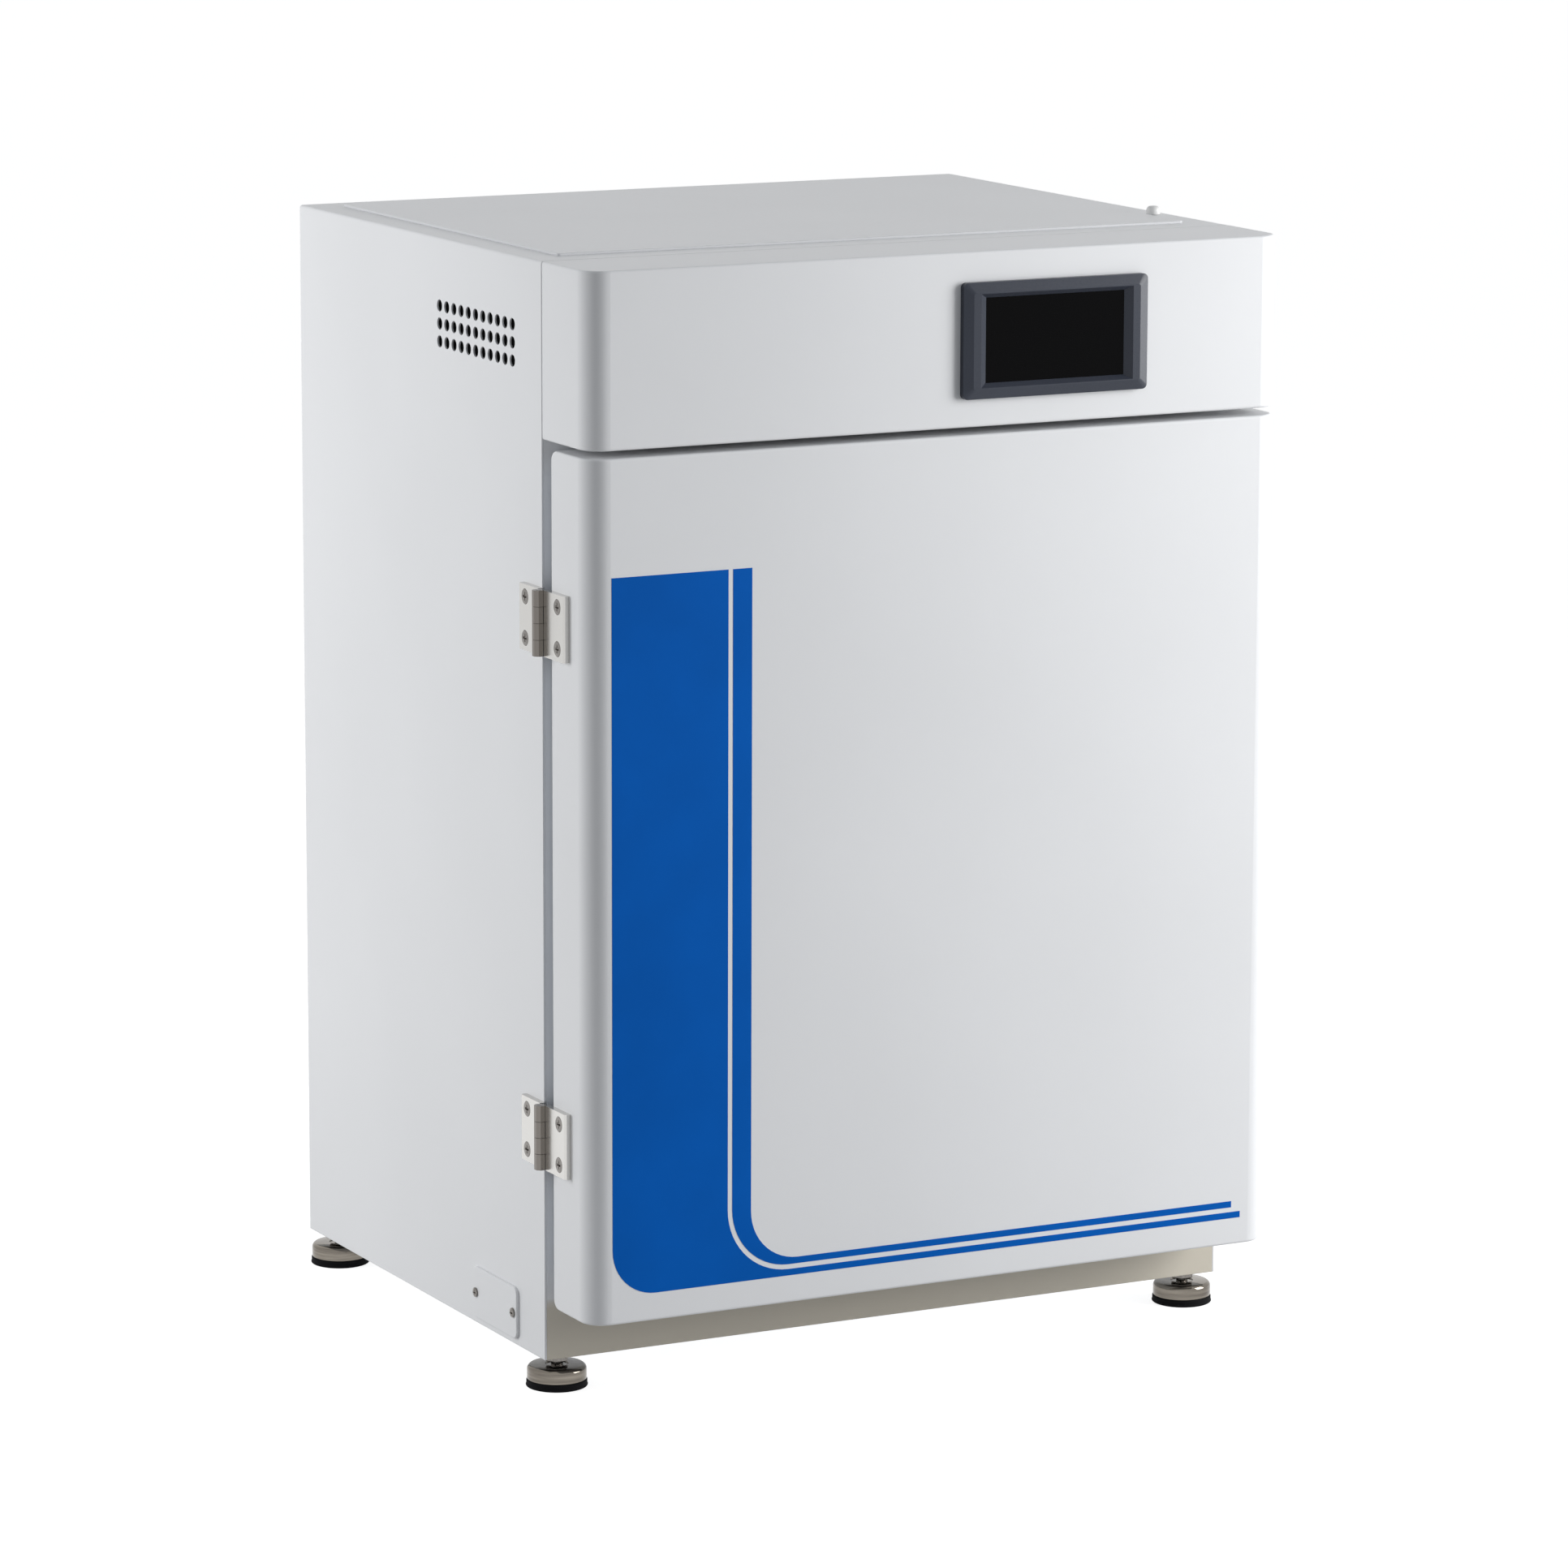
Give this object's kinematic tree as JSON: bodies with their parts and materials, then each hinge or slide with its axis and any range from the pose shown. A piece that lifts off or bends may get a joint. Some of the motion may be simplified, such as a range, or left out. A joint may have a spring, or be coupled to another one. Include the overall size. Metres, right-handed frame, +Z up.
{
  "type": "carbon dioxide incubator",
  "caption": "Bench-top carbon dioxide incubator with a heated cabinet, a control head with touch screen, an outer door on side hinges over a glass door, shelves and a water pan.",
  "frame": {"origin": "On the floor plane, under the middle of the overall box in depth and within 3 mm of its middle in width.", "axes": "+X to the user's right, +Y to the back of the cabinet, +Z up; the doors face -Y."},
  "size_m": [0.6069, 0.5624, 0.8708],
  "materials": {
    "white_paint": "satin",
    "galvanised_steel": "satin",
    "stainless_steel": "satin",
    "hinge_nickel": "satin",
    "screw_steel": "polished",
    "foot_chrome": "polished",
    "bezel_plastic": "satin",
    "screen_glass": "gloss",
    "black_plastic": "satin",
    "blue_print": "gloss",
    "gasket_rubber": "matte",
    "clear_silicone": "matte",
    "insulation_foam": "matte",
    "heater_film": "satin",
    "door_glass": "gloss",
    "white_plastic": "satin",
    "filter_media": "matte",
    "brass_fitting": "satin",
    "aluminium_case": "satin",
    "circuit_board": "satin"
  },
  "bodies": {
    "cabinet": {"left_side_panel": "white_paint", "right_side_panel": "white_paint", "top_cover": "white_paint", "back_panel": "white_paint", "base_plate": "galvanised_steel", "front_frame": "white_paint", "head_shell": "white_paint", "display_bezel": "bezel_plastic", "display_glass": "screen_glass", "display_housing": "black_plastic", "service_cover": "white_paint", "service_cover_screws": "screw_steel", "chamber_liner": "stainless_steel", "chamber_insulation": "insulation_foam", "heating_films": "heater_film", "chamber_seal": "clear_silicone", "shelf_rack": "stainless_steel", "air_duct_cover": "stainless_steel", "intake_filter": "filter_media", "fan_motor": "aluminium_case", "chamber_sensors": "stainless_steel", "access_port_sleeve": "white_plastic", "gas_inlet": "brass_fitting", "gas_filter": "white_plastic", "solenoid_valve": "brass_fitting", "gas_tubing": "clear_silicone", "power_inlet": "black_plastic", "power_supply": "aluminium_case", "control_board": "circuit_board", "electronics_tray": "galvanised_steel", "hinge_cabinet_leaves": "hinge_nickel", "hinge_pins": "screw_steel", "hinge_screws_cabinet": "screw_steel", "inner_hinge_bases": "stainless_steel", "latch_base": "stainless_steel"},
    "outer_door": {"door_shell": "white_paint", "door_grip": "black_plastic", "door_liner": "stainless_steel", "door_insulation": "insulation_foam", "door_heating_film": "heater_film", "door_gasket": "gasket_rubber", "door_stripes": "blue_print", "hinge_door_leaves": "hinge_nickel", "hinge_screws_door": "screw_steel"},
    "inner_door": {"inner_door_glass": "door_glass", "inner_door_fittings": "stainless_steel"},
    "latch": {"latch_lever": "black_plastic"},
    "fan": {"fan_impeller": "black_plastic"},
    "rocker": {"power_rocker": "black_plastic"},
    "stopper": {"port_stopper": "clear_silicone"},
    "plug": {"vent_plug": "white_plastic"},
    "upper_shelf": {"shelf_upper": "stainless_steel"},
    "middle_shelf": {"shelf_middle": "stainless_steel"},
    "lower_shelf": {"shelf_lower": "stainless_steel"},
    "pan": {"water_pan": "stainless_steel"},
    "front_left_foot": {"foot_front_left": "foot_chrome"},
    "front_right_foot": {"foot_front_right": "foot_chrome"},
    "rear_left_foot": {"foot_rear_left": "foot_chrome"},
    "rear_right_foot": {"foot_rear_right": "foot_chrome"}
  },
  "joints": [
    {"name": "outer_door_hinge", "type": "hinge", "parent": "cabinet", "child": "outer_door", "pos_m": [-0.302, -0.20175, 0.39935], "axis": [0, 0, -1], "range_deg": [0, 170]},
    {"name": "inner_door_hinge", "type": "hinge", "parent": "cabinet", "child": "inner_door", "pos_m": [-0.22, -0.20175, 0.399], "axis": [0, 0, -1], "range_deg": [0, 145]},
    {"name": "latch_turn", "type": "hinge", "parent": "cabinet", "child": "latch", "pos_m": [0.231, -0.20725, 0.399], "axis": [0, -1, 0], "range_deg": [0, 90]},
    {"name": "fan_spin", "type": "hinge", "parent": "cabinet", "child": "fan", "pos_m": [0, 0.18, 0.574], "axis": [0, 1, 0], "continuous": true},
    {"name": "power_rocker_tilt", "type": "hinge", "parent": "cabinet", "child": "rocker", "pos_m": [-0.215, 0.25775, 0.8135], "axis": [0, 0, -1], "range_deg": [0, 16]},
    {"name": "port_stopper_pull", "type": "slide", "parent": "cabinet", "child": "stopper", "axis": [0, 1, 0], "range_m": [0, 0.07]},
    {"name": "vent_plug_pull", "type": "slide", "parent": "cabinet", "child": "plug", "axis": [0, 0, 1], "range_m": [0, 0.012]},
    {"name": "shelf_upper_slide", "type": "slide", "parent": "cabinet", "child": "upper_shelf", "axis": [0, -1, 0], "range_m": [0, 0.12]},
    {"name": "shelf_middle_slide", "type": "slide", "parent": "cabinet", "child": "middle_shelf", "axis": [0, -1, 0], "range_m": [0, 0.12]},
    {"name": "shelf_lower_slide", "type": "slide", "parent": "cabinet", "child": "lower_shelf", "axis": [0, -1, 0], "range_m": [0, 0.12]},
    {"name": "water_pan_slide", "type": "slide", "parent": "cabinet", "child": "pan", "axis": [0, -1, 0], "range_m": [0, 0.12]},
    {"name": "front_left_foot_turn", "type": "hinge", "parent": "cabinet", "child": "front_left_foot", "pos_m": [-0.2765, -0.17525, 0.02], "axis": [0, 0, 1], "continuous": true},
    {"name": "front_right_foot_turn", "type": "hinge", "parent": "cabinet", "child": "front_right_foot", "pos_m": [0.2765, -0.17525, 0.02], "axis": [0, 0, 1], "continuous": true},
    {"name": "rear_left_foot_turn", "type": "hinge", "parent": "cabinet", "child": "rear_left_foot", "pos_m": [-0.2765, 0.23775, 0.02], "axis": [0, 0, 1], "continuous": true},
    {"name": "rear_right_foot_turn", "type": "hinge", "parent": "cabinet", "child": "rear_right_foot", "pos_m": [0.2765, 0.23775, 0.02], "axis": [0, 0, 1], "continuous": true}
  ],
  "couplings": [
    {"joint": "inner_door_hinge", "follows": "outer_door_hinge", "ratio": 0.85},
    {"joint": "shelf_upper_slide", "follows": "outer_door_hinge", "m_per_rad": 0.04},
    {"joint": "shelf_middle_slide", "follows": "outer_door_hinge", "m_per_rad": 0.04},
    {"joint": "shelf_lower_slide", "follows": "outer_door_hinge", "m_per_rad": 0.04},
    {"joint": "water_pan_slide", "follows": "outer_door_hinge", "m_per_rad": 0.04}
  ]
}
